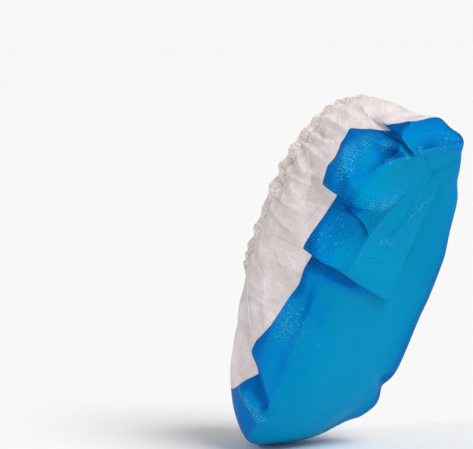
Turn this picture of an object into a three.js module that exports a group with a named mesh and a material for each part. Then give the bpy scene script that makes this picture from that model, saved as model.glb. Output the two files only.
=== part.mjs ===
// A disposable overshoe, shaped as on a foot that stands on its toes: a blue film sole whose
// sides are folded into pleats, a white nonwoven upper and a gathered elastic hem.
//
// The skin is first worked out lying along the foot: x runs from toe to heel, y across it with
// the near side negative, and z up from the sole. A turn goes round the foot in degrees, from the
// toe (0) by the near side (90), the heel (180) and the far side (270). A depth counts the rings
// from the mouth (0) down to the middle of the sole. Lengths are in millimetres.
import * as THREE from 'three';
import { mergeVertices } from 'three/addons/utils/BufferGeometryUtils.js';

const pitch = 61;
const wall = 1.6;
const gap = 0.3;
const hemWidth = 11;
const gatherCount = 30;
const columnsPerGather = 4;
const ripple = { height: 1.3, fadeDepth: 1.5 };
const toeSpring = { from: 105, rise: 30 };
const soleHalfWidth = 58;

// Rings round the foot. narrow makes the heel end slimmer than the toe end, square rounds the
// ring into a fuller oval above 2, and the heights are at the toe, the sides and the heel.
const rings = [
  { name: 'mouth', front: 115, back: 286, half: 44, narrow: 0.04, square: 2.2, toe: 121, side: 99, heel: 97 },
  { name: 'throat', front: 98, back: 296, half: 48, narrow: 0.05, square: 2.2, toe: 100, side: 86, heel: 80 },
  { name: 'instep', front: 47, back: 304, half: 58, narrow: 0.09, square: 2.4, toe: 83, side: 65, heel: 58 },
  { name: 'side', front: 17, back: 309, half: 60, narrow: 0.1, square: 2.4, toe: 58, side: 39, heel: 33 },
  { name: 'low', front: 2, back: 316, half: 60, narrow: 0.1, square: 2.5, toe: 26, side: 12, heel: 10 },
  { name: 'edge', front: 9, back: 316, half: 55, narrow: 0.13, square: 2.8, toe: 9, side: 0, heel: -4 },
  { name: 'inner', front: 32, back: 290, half: 30, narrow: 0.08, square: 2.2, toe: 0, side: 0, heel: 0 },
  { name: 'middle', front: 60, back: 262, half: 0, narrow: 0, square: 2, toe: 0, side: 0, heel: 0 },
];

// How high the seam between film and nonwoven lies above the sole, going round the foot. It
// steps up at each pleat of the near side, where two rows share nearly the same turn.
const seam = [
  { turn: 0, height: 60 },
  { turn: 31, height: 60 },
  { turn: 56, height: 39 },
  { turn: 64.5, height: 30 },
  { turn: 67.5, height: 38 },
  { turn: 73, height: 38 },
  { turn: 82, height: 31 },
  { turn: 91, height: 26 },
  { turn: 102.2, height: 19 },
  { turn: 102.4, height: 26 },
  { turn: 113, height: 24 },
  { turn: 121.9, height: 24 },
  { turn: 122.1, height: 37 },
  { turn: 133, height: 41 },
  { turn: 139, height: 48 },
  { turn: 150, height: 47 },
  { turn: 155, height: 23 },
  { turn: 161, height: 20 },
  { turn: 168, height: 12 },
  { turn: 192, height: 11 },
  { turn: 215, height: 30 },
  { turn: 237, height: 36 },
  { turn: 257, height: 24 },
  { turn: 286, height: 33 },
  { turn: 329, height: 60 },
  { turn: 360, height: 60 },
];

// Knife pleats in the near side: the layer nearer the heel lies over the layer nearer the toe.
// The edge runs straight under the sole, from its side to its middle line, and up the flank it
// leans towards the toe. turn says about where it is on the rings, top is the height up to which
// it is whole, and reach is how far past the middle line (or short of it) it runs out.
const pleats = [
  { name: 'arch', turn: 102, side: 206, middle: 176, lean: 0.12, reach: 18, top: 27, rise: 4.5, ramp: 46 },
  { name: 'heel', turn: 123, side: 255, middle: 243, lean: 0.2, reach: -16, top: 38, rise: 5, ramp: 30 },
];
const pleatStep = 1.4;
const pleatSink = { depth: 1.2, width: 12 };
const pleatRunOut = { across: 14, up: 18 };
const columnBeside = 0.65;

// Ridges (positive rise) and valleys (negative) along straight lines over the skin.
const folds = [
  { name: 'toe_bump', from: [56, -52, 46], to: [51, -53, 24], rise: 3, width: 8 },
  { name: 'toe_valley', from: [88, -59, 34], to: [70, -57, 22], rise: -4.5, width: 8 },
  { name: 'arch_valley', from: [182, -59, 22], to: [146, -18, 0], rise: -2, width: 14 },
  { name: 'heel_lobe', from: [266, -45, 34], to: [286, -36, 26], rise: 6, width: 13 },
  { name: 'heel_valley', from: [301, -27, 24], to: [299, -26, 2], rise: -5, width: 8 },
  { name: 'heel_flap', from: [312, -14, 8], to: [317, 4, 6], rise: 4, width: 10 },
  { name: 'heel_corner', from: [307, 27, -2], to: [309, 27, 4], rise: 3, width: 8 },
  { name: 'heel_back', from: [316, 4, 16], to: [312, 2, 34], rise: 3, width: 12 },
  { name: 'heel_crease', from: [262, -46, 14], to: [296, -28, -3], rise: 1.5, width: 6 },
  { name: 'sole_crease', from: [176, 18, 0], to: [282, 15, 0], rise: -1.6, width: 6 },
  { name: 'sole_ridge', from: [250, -16, 0], to: [204, -40, 0], rise: 1.6, width: 5 },
  { name: 'ball_round', from: [92, -54, 6], to: [188, -56, 2], rise: -2.5, width: 18 },
  { name: 'far_toe_dent', from: [86, 47, 2], to: [74, 54, 6], rise: -5, width: 7 },
  { name: 'far_toe_bump', from: [58, 53, 10], to: [46, 49, 13], rise: 4, width: 9 },
  { name: 'instep_fold', from: [146, -41, 98], to: [106, -56, 66], rise: 2, width: 7 },
  { name: 'ankle_crease', from: [269, -35, 82], to: [266, -44, 48], rise: -2, width: 6 },
  { name: 'cheek', from: [240, -51, 66], to: [190, -58, 56], rise: 2.5, width: 14 },
];

const colours = { elastic_hem: '#e2d8c4', upper_fabric: '#e6dcda', sole_film: '#0a82c4' };
const roughness = { elastic_hem: 0.9, upper_fabric: 0.85, sole_film: 0.45 };
const rowCounts = { elastic_hem: 3, upper_fabric: 8, sole_film: 12 };
const columnCount = gatherCount * columnsPerGather;
const middleDepth = rings.length - 1;

// How far the edges and the pleats are searched for, in depths and in turns.
const deepestHem = 2;
const deepestSeam = 5;
const pleatTurns = { low: 40, high: 170 };

function smooth(low, high, value) {
  return THREE.MathUtils.smoothstep(value, low, high);
}

// The place, between low and high, where a test that holds at low stops holding.
function halve(low, high, holds) {
  let [a, b] = [low, high];
  for (let step = 0; step < 24; step += 1) {
    const mid = (a + b) / 2;
    if (holds(mid)) {
      a = mid;
    } else {
      b = mid;
    }
  }
  return (a + b) / 2;
}

function ringPoint(ring, turn) {
  const c = Math.cos(THREE.MathUtils.degToRad(turn));
  const s = Math.sin(THREE.MathUtils.degToRad(turn));
  const fullC = Math.sign(c) * Math.abs(c) ** (2 / ring.square);
  const fullS = Math.sign(s) * Math.abs(s) ** (2 / ring.square);
  const end = c > 0 ? ring.toe : ring.heel;
  return new THREE.Vector3(
    (ring.front + ring.back) / 2 - ((ring.back - ring.front) / 2) * fullC,
    -ring.half * fullS * (1 + ring.narrow * fullC),
    ring.side + (end - ring.side) * c * c,
  );
}

// A ring by its number, with one more beyond each end, an even step further on.
function ringAt(index, turn) {
  const inside = THREE.MathUtils.clamp(index, 0, middleDepth);
  const point = ringPoint(rings[inside], turn);
  if (index === inside) {
    return point;
  }
  return point.multiplyScalar(2).sub(ringPoint(rings[2 * inside - index], turn));
}

// The smooth skin of a flat foot: a uniform Catmull-Rom curve over the rings.
function flatSkin(turn, depth) {
  const index = THREE.MathUtils.clamp(Math.floor(depth), 0, middleDepth - 1);
  const t = depth - index;
  const weights = [
    -t + 2 * t ** 2 - t ** 3,
    2 - 5 * t ** 2 + 3 * t ** 3,
    t + 4 * t ** 2 - 3 * t ** 3,
    -(t ** 2) + t ** 3,
  ];
  const point = new THREE.Vector3();
  weights.forEach((weight, i) => point.addScaledVector(ringAt(index + i - 1, turn), weight / 2));
  return point;
}

function skin(turn, depth) {
  const point = flatSkin(turn, depth);
  const bend = Math.max(0, (toeSpring.from - point.x) / toeSpring.from);
  point.z += toeSpring.rise * bend ** 2;
  return point;
}

function seamHeight(turn) {
  const next = Math.max(1, seam.findIndex((row) => row.turn >= turn));
  const [low, high] = [seam[next - 1], seam[next]];
  return THREE.MathUtils.mapLinear(turn, low.turn, high.turn, low.height, high.height);
}

function seamDepth(turn) {
  const height = seamHeight(turn);
  return halve(0, deepestSeam, (depth) => flatSkin(turn, depth).z > height);
}

function hemDepth(turn) {
  const top = flatSkin(turn, 0);
  return halve(0, deepestHem, (depth) => flatSkin(turn, depth).distanceTo(top) < hemWidth);
}

function depthStep(turn, depth, length) {
  const reach = 0.05;
  const span = flatSkin(turn, depth + reach).distanceTo(flatSkin(turn, depth - reach));
  return (length * 2 * reach) / span;
}

// Each piece is a band of rows between two edges of the skin. A row is a rule for its depth at
// each turn, and where two bands meet each ends half the gap short of the shared edge.
function band(piece, start, end) {
  const last = rowCounts[piece] - 1;
  return Array.from({ length: last + 1 }, (unused, i) => ({
    piece,
    depth(turn) {
      const a = start.depth(turn) + start.gap * depthStep(turn, start.depth(turn), gap / 2);
      const b = end.depth(turn) - end.gap * depthStep(turn, end.depth(turn), gap / 2);
      return THREE.MathUtils.lerp(a, b, i / last);
    },
  }));
}

const edges = {
  mouth: { depth: () => 0, gap: 0 },
  hem: { depth: hemDepth, gap: 1 },
  seam: { depth: seamDepth, gap: 1 },
  middle: { depth: () => middleDepth, gap: 0 },
};
const rows = [
  ...band('elastic_hem', edges.mouth, edges.hem),
  ...band('upper_fabric', edges.hem, edges.seam),
  ...band('sole_film', edges.seam, edges.middle),
];

// Distance along the foot from a pleat's edge, positive towards the heel.
function pastPleat(pleat, point) {
  const edge = THREE.MathUtils.lerp(pleat.middle, pleat.side, -point.y / soleHalfWidth);
  return point.x - edge + pleat.lean * point.z;
}

function pleatTurn(pleat, row) {
  const { low, high } = pleatTurns;
  return halve(low, high, (turn) => pastPleat(pleat, flatSkin(turn, row.depth(turn))) < 0);
}

// The columns keep even turns apart from those at a pleat, where two of them stand close on
// either side of its edge. The far flank mirrors them, as both meet on the middle of the sole.
function columnTurns(row) {
  const fixed = [{ column: 0, turn: 0 }, { column: columnCount, turn: 360 }];
  pleats.forEach((pleat) => {
    const before = Math.round((pleat.turn / 360) * columnCount);
    [-1, 1].forEach((beside, i) => {
      const turn = pleatTurn(pleat, row) + beside * columnBeside;
      fixed.push({ column: before + i, turn });
      fixed.push({ column: columnCount - before - i, turn: 360 - turn });
    });
  });
  fixed.sort((a, b) => a.column - b.column);
  return Array.from({ length: columnCount }, (unused, column) => {
    const next = fixed.findIndex((place) => place.column > column);
    const [low, high] = [fixed[next - 1], fixed[next]];
    return THREE.MathUtils.mapLinear(column, low.column, high.column, low.turn, high.turn);
  });
}

function pleatRelief(pleat, point) {
  const past = pastPleat(pleat, point);
  const across = smooth(0, pleatRunOut.across, pleat.reach - point.y);
  const below = 1 - smooth(pleat.top, pleat.top + pleatRunOut.up, point.z);
  const step = smooth(-pleatStep, pleatStep, past);
  const lap = pleat.rise * step * (1 - smooth(0, pleat.ramp, past));
  const dip = pleatSink.depth * (1 - step) * smooth(-pleatSink.width, 0, past);
  return (lap - dip) * across * below;
}

function foldRelief(fold, point) {
  const line = new THREE.Line3(new THREE.Vector3(...fold.from), new THREE.Vector3(...fold.to));
  const away = line.closestPointToPoint(point, true, new THREE.Vector3()).distanceTo(point);
  return fold.rise * Math.exp(-((away / fold.width) ** 2));
}

function rippleRelief(row, column, turn) {
  const wave = Math.cos((2 * Math.PI * column) / columnsPerGather);
  const below = row.depth(turn) - hemDepth(turn);
  return ripple.height * wave * (1 - smooth(0, ripple.fadeDepth, below));
}

function relief(row, column, turn, point) {
  const pleated = pleats.reduce((sum, pleat) => sum + pleatRelief(pleat, point), 0);
  const folded = folds.reduce((sum, fold) => sum + foldRelief(fold, point), 0);
  return pleated + folded + rippleRelief(row, column, turn);
}

// A point's number in the whole skin. On the middle line of the sole the two flanks share theirs.
function pointNumber(row, column) {
  const around = column % columnCount;
  const shared = row === rows.length - 1 ? Math.min(around, columnCount - around) : around;
  return row * columnCount + shared;
}

function facesBetween(firstRow, lastRow) {
  const faces = [];
  for (let row = firstRow; row < lastRow; row += 1) {
    for (let column = 0; column < columnCount; column += 1) {
      const a = pointNumber(row, column);
      const b = pointNumber(row, column + 1);
      const c = pointNumber(row + 1, column + 1);
      const d = pointNumber(row + 1, column);
      faces.push([a, d, c], [a, c, b]);
    }
  }
  return faces;
}

// Normals of the whole skin. The two rows beside a gap share theirs, so the gap stays even.
function normalsOf(points) {
  const whole = new THREE.BufferGeometry().setFromPoints(points);
  whole.setIndex(facesBetween(0, rows.length - 1).flat());
  whole.computeVertexNormals();
  const normals = points.map((unused, i) => (
    new THREE.Vector3().fromBufferAttribute(whole.attributes.normal, i)
  ));
  normals.forEach((normal, i) => {
    const row = Math.floor(i / columnCount);
    if (row + 1 < rows.length && rows[row].piece !== rows[row + 1].piece) {
      normal.add(normals[i + columnCount]).normalize();
      normals[i + columnCount].copy(normal);
    }
  });
  return normals;
}

function pushed(points, distanceAt) {
  const normals = normalsOf(points);
  return points.map((point, i) => point.clone().addScaledVector(normals[i], distanceAt(i, point)));
}

const turns = rows.map(columnTurns);
const smoothSkin = rows.flatMap((row, r) => turns[r].map((turn) => skin(turn, row.depth(turn))));
const outside = pushed(smoothSkin, (i, point) => {
  const row = Math.floor(i / columnCount);
  const column = i % columnCount;
  return relief(rows[row], column, turns[row][column], point);
});
const inside = pushed(outside, () => -wall);

// The rim joins the outside to the inside along one row.
function rim(row, facesUp) {
  const faces = [];
  for (let column = 0; column < columnCount; column += 1) {
    const a = pointNumber(row, column);
    const b = pointNumber(row, column + 1);
    const [c, d] = [b + outside.length, a + outside.length];
    faces.push(...(facesUp ? [[a, b, c], [a, c, d]] : [[a, c, b], [a, d, c]]));
  }
  return faces;
}

function shell(piece) {
  const first = rows.findIndex((row) => row.piece === piece);
  const last = first + rowCounts[piece] - 1;
  const outer = facesBetween(first, last);
  const inner = outer.map(([a, b, c]) => [a, c, b].map((number) => number + outside.length));
  const bottom = last === rows.length - 1 ? [] : rim(last, false);
  const faces = [...outer, ...inner, ...rim(first, true), ...bottom];
  const points = [...outside, ...inside];
  const geometry = new THREE.BufferGeometry().setFromPoints(faces.flat().map((i) => points[i]));
  return mergeVertices(geometry);
}

function mouthCentre() {
  const centre = new THREE.Vector3();
  for (let turn = 0; turn < 360; turn += 1) {
    centre.addScaledVector(ringPoint(rings[0], turn), 1 / 360);
  }
  return centre;
}

const cover = new THREE.Group();
cover.rotation.y = -THREE.MathUtils.degToRad(pitch);
Object.keys(rowCounts).forEach((piece) => {
  const material = new THREE.MeshStandardMaterial({
    color: colours[piece],
    roughness: roughness[piece],
    metalness: 0,
  });
  const mesh = new THREE.Mesh(shell(piece), material);
  mesh.name = piece;
  mesh.position.copy(mouthCentre()).negate();
  cover.add(mesh);
});

export default cover;
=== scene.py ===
import functools
import math

import bpy
import numpy as np
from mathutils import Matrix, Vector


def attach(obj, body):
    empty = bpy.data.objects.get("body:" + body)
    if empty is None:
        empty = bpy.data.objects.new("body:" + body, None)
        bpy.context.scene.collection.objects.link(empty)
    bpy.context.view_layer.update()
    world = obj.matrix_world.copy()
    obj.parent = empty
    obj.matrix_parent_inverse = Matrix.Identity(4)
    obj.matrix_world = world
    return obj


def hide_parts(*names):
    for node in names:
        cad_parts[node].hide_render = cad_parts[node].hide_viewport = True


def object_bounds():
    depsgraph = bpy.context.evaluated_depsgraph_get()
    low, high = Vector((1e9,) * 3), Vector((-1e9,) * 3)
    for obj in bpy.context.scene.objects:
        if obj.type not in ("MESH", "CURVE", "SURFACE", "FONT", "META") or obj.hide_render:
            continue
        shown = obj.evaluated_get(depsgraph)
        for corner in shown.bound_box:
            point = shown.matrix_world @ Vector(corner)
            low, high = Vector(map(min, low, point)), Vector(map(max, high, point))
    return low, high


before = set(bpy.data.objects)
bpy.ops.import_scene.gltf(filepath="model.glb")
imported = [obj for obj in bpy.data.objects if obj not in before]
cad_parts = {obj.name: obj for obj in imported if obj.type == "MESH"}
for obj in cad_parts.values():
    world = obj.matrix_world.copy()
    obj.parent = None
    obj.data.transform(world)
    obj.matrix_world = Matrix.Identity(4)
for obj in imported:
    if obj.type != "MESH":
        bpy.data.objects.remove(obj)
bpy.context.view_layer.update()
print("frame loaded")

# Shapes are worked out lying along the foot, in millimetres: x runs from toe to heel, y across
# with the near side negative, z up from the sole. A turn goes round the foot in degrees, from the
# toe (0) by the near side (90), the heel (180) and the far side (270). A depth counts the rings
# from the mouth (0) to the middle of the sole (7).
foot = {
    "pitch": 61,  # degrees that the foot leans forward, standing on its toes
    "soleHalfWidth": 58,
    "springFrom": 105,  # the toe curls up in front of this x
    "springRise": 30,
}

# Rings round the foot: front, back, half width, narrower heel, squareness, height at toe, sides, heel
ringTable = np.array([
    [115, 286, 44, 0.04, 2.2, 121, 99, 97],  # mouth
    [98, 296, 48, 0.05, 2.2, 100, 86, 80],  # throat
    [47, 304, 58, 0.09, 2.4, 83, 65, 58],  # instep
    [17, 309, 60, 0.1, 2.4, 58, 39, 33],  # side
    [2, 316, 60, 0.1, 2.5, 26, 12, 10],  # low
    [9, 316, 55, 0.13, 2.8, 9, 0, -4],  # edge of the sole
    [32, 290, 30, 0.08, 2.2, 0, 0, 0],  # inner
    [60, 262, 0, 0, 2, 0, 0, 0],  # middle line of the sole
])
middleDepth = len(ringTable) - 1

# Height of the seam between film and nonwoven, by turn
seamTable = np.array([
    [0, 60], [31, 60], [56, 39], [64.5, 30], [67.5, 41], [73, 40], [82, 30], [88, 25.5], [92, 23],
    [102.2, 19], [102.4, 26], [113, 24], [121.9, 24], [122.1, 37], [133, 41], [139, 50], [148, 52],
    [154, 36], [158.5, 24], [160, 31], [162, 22], [164, 12], [170, 8], [190, 8], [215, 30],
    [237, 36], [257, 24], [286, 33], [329, 60], [360, 60],
])

skinSettings = {
    "rows": {"hem": 14, "upper": 44, "film": 70},
    "hemWidth": 11,
    "overlap": 2,  # rows that the nonwoven runs on under the film, and under the hem
    "tuck": 0.85,  # how far under, in millimetres
    "tuckBefore": 0.3825,  # and how far the row before already dips
    "wall": {"film": 0.5, "upper": 0.5, "hem": 0.9},
    "columns": {"toe": 126, "arch": 40, "heel": 64, "back": 42},  # on each flank, between the pleats
    "soleDepth": 4.8,  # from here on the pattern lies as it does under the sole
    "sharpAngle": 70,  # a steeper edge isn't shaded smooth
}

# Knife pleats, where the layer nearer the heel lies over the layer nearer the toe. The first two
# edges run straight under the sole, from x = side to x = middle, and lean towards the toe up the
# flank. The last follows turns by depth, up the back of the heel. PerTurn is millimetres to a
# degree, and no edge goes past the turn last. Laps die out above top, and across the sole along a
# crease between two points. Their rise fades over ramp behind the edge.
pleatTable = [
    {"side": 206, "middle": 176, "lean": 0.12, "perTurn": 2.3, "last": 103, "top": 27, "rise": 4.5,
     "ramp": 46, "crease": ((167, 16), (258, 19))},
    {"side": 257, "middle": 243, "lean": 0.15, "perTurn": 2.0, "last": 136, "top": 38, "rise": 5,
     "ramp": 34, "crease": ((249, -26), (283, 9))},
    {"turnAt": ((2.5, 161), (3.3, 160), (3.8, 158.5), (4.6, 156.5), (5.4, 159)), "perTurn": 1.9,
     "last": 161, "top": 34, "rise": 3.8, "ramp": 36, "crease": ((280, -36), (300, -16))},
]
pleatSettings = {
    "searched": (40, 175),  # the turns between which the edges lie
    "sink": 1.2,  # how far the skin in front of an edge dips
    "sinkWidth": 12,
    "across": 2.5,  # the lap fades in over this, inside its crease
    "up": 18,  # and out over this, above its top
    "slideAcross": (2, 9),  # the doubling back fades in sooner and out sooner
    "slideUp": (-2, 9),
    # painted shadow on the film's colour, in front of each lap's edge:
    "shade": 1.05,  # the film is darker where it goes in under a lap
    "shadeReach": 2.5,
    "shadeAcross": (10, 50),  # less so near the crease
    "hidden": 8,  # this much of the lower layer lies under the lap
}

# Places where the film is drawn flat between folds: three points of a plane, softness of its
# edges, and the stretch of the foot (from, to, fade) where it holds
facetTable = [
    [(299, -17, -3), (307, 22, -3), (317, 1, 8), 1.0, (300, 330, 8)],  # flap at the back of the heel
    [(213, -38, 1), (233, -30.5, 1), (215, -57.5, 21), 1.2, (200, 240, 36)],
]

# Section through a pleat: distance past its edge, slide along the skin, and share of the rise.
# The cloth runs in under the lap, doubles back and comes out on top.
foldSection = np.array([
    [-12, 0, 0], [-6, 0, 0], [-3, 2.5, 0], [-2, 5, 0], [-1.4, 5.9, 0.02], [-0.9, 5.6, 0.12],
    [-0.5, 4.3, 0.25], [-0.2, 2.2, 0.35], [0.1, 0.1, 0.45], [0.5, -1.4, 0.58], [1, -2.2, 0.72],
    [1.6, -2.5, 0.85], [2.4, -2.2, 0.96], [3.5, -1.3, 1], [6, -0.4, 1], [12, 0, 1],
])

# Ridges and valleys along straight lines: two ends, rise, width, and 1 for a sharp crease
foldTable = np.array([
    [60, -54, 40, 51, -52, 18, 3, 7, 0],  # toe bump
    [86, -59, 38, 62, -54, 11, -4, 7, 0],  # toe valley
    [177, -60, 30, 159, -51, 10, -4, 9, 0],  # arch valley, and its shallow end
    [159, -51, 10, 140, -34, 1, -2.5, 11, 0],
    [266, -45, 34, 286, -36, 26, 6, 13, 0],  # heel lobe
    [303, -26, 24, 302, -26, 4, -3, 4, 0],  # heel valley
    [312, -14, 8, 317, 4, 6, 4, 10, 0],  # heel flap
    [307, 27, -2, 309, 27, 4, 3, 8, 0],  # heel corner
    [316, 4, 16, 312, 2, 34, 3, 12, 0],  # heel back
    [264, -47, 12, 284, -41, 3, 1.2, 4, 1],  # line of the heel, in four lengths
    [284, -41, 3, 296, -32, -3, 1.4, 4, 1],
    [296, -32, -3, 303, -7, -3, 1.2, 4, 1],
    [303, -7, -3, 307, 22, -4, 1.2, 5, 1],
    [278, -39, 42, 264, -46, 14, 2, 4, 1],  # crest of the lobe
    [290, -37, 32, 301, -27, 2, 1.8, 4, 1],  # crease inside the lobe, and its valley
    [290, -37, 16, 299, -31, 0, -3, 5, 0],
    [294, -3, -1, 283, 8, 0, -0.8, 2.5, 1],  # creases of the heel's sole
    [283, 8, 0, 286, 24, -2, -0.7, 2.5, 1],
    [279, 9, 0, 258, 1, 0, 0.9, 3.5, 1],
    [262, -16, 0, 232, -32, 0, 1, 4, 1],  # ridge from the heel pleat to the arch
    [257, 19, 0, 228, -4, 0, 1.1, 4, 1],  # ridges of the arch
    [258, 19, 0, 207, 18, 0, -0.6, 3, 1],
    [254, -49, 1, 232, -33, -1, 1, 4, 1],
    [92, -54, 6, 188, -56, 2, -1.5, 18, 0],  # ball
    [90, 47, 2, 78, 54, 6, -4.4, 6.5, 0],  # far toe dent
    [60, 53, 10, 46, 49, 13, 3, 9, 0],  # far toe bump
    [146, -41, 98, 106, -56, 66, 2, 7, 1],  # instep fold
    [150, -50, 84, 133, -60, 60, 1.6, 3.5, 1],  # long fold
    [133, -60, 60, 101, -59, 40, 1.4, 3.5, 1],
    [208, -45, 94, 221, -55, 42, 1.6, 3.5, 1],  # creases that fan down from the mouth
    [197, -46, 92, 207, -57, 44, 1.4, 3.5, 1],
    [235, -43, 92, 247, -50, 54, 1.3, 3.5, 1],
    [247, -41, 88, 262, -45, 40, 1.6, 3.5, 1],
    [180, -48, 88, 196, -58, 46, 1.2, 4, 1],
    [176, -54, 74, 166, -60, 38, 1, 3, 1],
    [171, -57, 68, 136, -61, 45, 1, 3.5, 1],
    [154, -44, 94, 144, -57, 70, 1.2, 4, 1],
    [222, -44, 88, 232, -52, 60, -1.4, 4, 1],
    [269, -35, 82, 266, -44, 48, -2, 6, 1],  # ankle crease
    [240, -51, 66, 190, -58, 56, 2.5, 14, 0],  # cheek
], float)

# Places where the edge of the sole is rounded off or drawn out, all of the skin near a line pushed
# the same way: two ends, how far along x, y and z, and width
pushTable = np.array([
    [46, -42, 22, 96, -57, 7, 0, 5.5, 5.5, 18],  # near edge from the toe to the arch
    [96, -57, 7, 176, -58, 3, 0, 5.5, 5.5, 18],
    [304, 22, -5, 272, 40, -2, -1.2, -3, 2.5, 14],  # far corner of the heel
    [200, 51, 0, 172, 48, -4, 0, 3.2, -0.8, 20],  # far edge at the arch
    [42, 38, 11, 33, 32, 17, 2, 0, 2.5, 11],  # far corner of the toe
], float)

# Gathers of the elastic mouth, and the creases that run down from them
gatherSettings = {
    "count": 30,  # gathers round the mouth
    "spread": 12,  # either side of that count, for the uneven ones
    "height": 1.5,
    "reach": 22,  # how far down the skin they die out
    "uneven": 0.55,  # share of uneven ones
    "creases": [(52, 14, 0.8, 18), (27, 8, 1.1, 40), (12, 5, 1.2, 70)],  # per turn, spread, height, length
    "drift": 0.12,  # degrees that a crease wanders for each millimetre down
    "sharpness": 1.6,
}


# Goes from 0 at low to 1 at high, level at both ends.
def smooth(low, high, value):
    t = np.clip((value - low) / (high - low), 0, 1)
    return t * t * (3 - 2 * t)


# Halves the span between low and high until it closes on the place where a test stops holding.
def halve(low, high, holds):
    for step in range(24):
        middle = (low + high) / 2
        held = holds(middle)
        low, high = np.where(held, middle, low), np.where(held, high, middle)
    return (low + high) / 2


# A ring is a rounded oval: x and y go with cos and sin raised to 2 / squareness, and its height
# goes from the sides to each end with the square of cos.
def ringPoint(number, turn):
    front, back, half, narrow, square, toe, side, heel = np.moveaxis(ringTable[number], -1, 0)
    c, s = np.cos(np.radians(turn)), np.sin(np.radians(turn))
    fullC = np.sign(c) * np.abs(c) ** (2 / square)
    fullS = np.sign(s) * np.abs(s) ** (2 / square)
    end = np.where(c > 0, toe, heel)
    x = (front + back) / 2 - (back - front) / 2 * fullC
    y = -half * fullS * (1 + narrow * fullC)
    return np.stack([x, y, side + (end - side) * c * c], -1)


# The skin of a flat foot: at each turn, a Catmull-Rom curve over the eight rings, with one more
# ring beyond each end, an even step further on.
def flatSkin(turn, depth):
    turn, depth = np.broadcast_arrays(np.asarray(turn, float), np.asarray(depth, float))
    index = np.clip(np.floor(depth).astype(int), 0, middleDepth - 1)
    t = (depth - index)[..., None]
    weights = [-t + 2 * t**2 - t**3, 2 - 5 * t**2 + 3 * t**3, t + 4 * t**2 - 3 * t**3, t**3 - t**2]
    point = 0
    for i, weight in enumerate(weights):
        number = index + i - 1
        inside = np.clip(number, 0, middleDepth)
        mirrored = ringPoint(2 * inside - number, turn)
        ring = ringPoint(inside, turn)
        beyond = (number != inside)[..., None]
        point = point + weight / 2 * np.where(beyond, 2 * ring - mirrored, ring)
    return point


# The skin of the foot bent up at the toe, with the square of the distance in front of springFrom
def sprungSkin(turn, depth):
    point = flatSkin(turn, depth)
    bend = np.clip((foot["springFrom"] - point[..., 0]) / foot["springFrom"], 0, None)
    return point + np.stack([bend * 0, bend * 0, foot["springRise"] * bend**2], -1)


# Depths of the seam and of the hem's lower edge, at turns a twentieth of a degree apart
fineTurn = np.linspace(0, 360, 7201)
fineSeam = halve(fineTurn * 0, fineTurn * 0 + 5, lambda depth: (
    flatSkin(fineTurn, depth)[:, 2] > np.interp(fineTurn, seamTable[:, 0], seamTable[:, 1])))
fineHem = halve(fineTurn * 0, fineTurn * 0 + 2, lambda depth: (
    np.linalg.norm(flatSkin(fineTurn, depth) - flatSkin(fineTurn, 0), axis=-1) < skinSettings["hemWidth"]))


def hemDepth(turn):
    return np.interp(turn, fineTurn, fineHem)


def seamDepth(turn):
    return np.interp(turn, fineTurn, fineSeam)


hemRow = skinSettings["rows"]["hem"]
seamRow = hemRow + skinSettings["rows"]["upper"]
lastRow = seamRow + skinSettings["rows"]["film"]
rowNumber = np.arange(lastRow + 1)


# Rows are spread evenly from mouth to hem line, from there to the seam, and on to the middle.
def rowDepth(row, hem, seam):
    inHem = hem * row / hemRow
    inUpper = hem + (seam - hem) * (row - hemRow) / (seamRow - hemRow)
    inFilm = seam + (middleDepth - seam) * (row - seamRow) / (lastRow - seamRow)
    return np.where(row < hemRow, inHem, np.where(row < seamRow, inUpper, inFilm))


# Distance along the foot past a pleat's edge, positive towards the heel
def pastPleat(pleat, turn, depth):
    if "turnAt" in pleat:
        edgeDepth, edgeTurn = np.array(pleat["turnAt"]).T
        nearTurn = np.minimum(turn, 360 - turn)
        return (nearTurn - np.interp(depth, edgeDepth, edgeTurn)) * pleat["perTurn"]
    x, y, z = np.moveaxis(flatSkin(turn, depth), -1, 0)
    edge = pleat["middle"] + (pleat["side"] - pleat["middle"]) * -y / foot["soleHalfWidth"]
    return x - edge + pleat["lean"] * z


# Columns stand at even turns between anchors, and close together across each pleat, where they
# follow the fold's section. Each flank finds its own, counted in degrees from the toe; on the far
# flank the pleats only reach a little past the middle line. Each column keeps one seam depth.
def flankTurns(isFar):
    def turnRound(turn):
        return 360 - turn if isFar else turn

    anchors, places, starts = [np.zeros_like(rowNumber, float)], [0], []
    low, high = (np.full(len(rowNumber), float(turn)) for turn in pleatSettings["searched"])
    counts = list(skinSettings["columns"].values())
    for pleat, count in zip(pleatTable, counts):
        crossing = halve(low, high, lambda turn: pastPleat(
            pleat, turnRound(turn), seamDepth(turnRound(turn))) < 0)[0]
        seam = (seamDepth(turnRound(crossing - 0.5)) + seamDepth(turnRound(crossing + 0.5))) / 2
        edge = halve(low, high, lambda turn: pastPleat(
            pleat, turnRound(turn), rowDepth(rowNumber, hemDepth(turnRound(turn)), seam)) < 0)
        edge = np.minimum(edge, pleat["last"])
        starts.append(places[-1] + count)
        for i, distance in enumerate(foldSection[:, 0]):
            anchors.append(edge + distance / pleat["perTurn"])
            places.append(starts[-1] + i)
    anchors.append(np.full(len(rowNumber), 180.0))
    places.append(places[-1] + counts[-1])
    anchors, places = np.array(anchors), np.array(places)
    number = np.arange(places[-1] + 1)
    after = np.clip(np.searchsorted(places, number, side="right"), 1, len(places) - 1)
    share = (number - places[after - 1]) / (places[after] - places[after - 1])
    return anchors[after - 1] + (anchors[after] - anchors[after - 1]) * share[:, None], starts


nearTurns, pleatStarts = flankTurns(False)
farTurns, pleatStarts = flankTurns(True)
turns = np.concatenate([nearTurns, 360 - farTurns[-2:0:-1]]).T
columnCount = turns.shape[1]
depths = rowDepth(rowNumber[:, None], hemDepth(turns), seamDepth(turns[seamRow]))
plainSkin = sprungSkin(turns, depths)
print("skin of", turns.shape[0], "rows and", columnCount, "columns")


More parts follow.
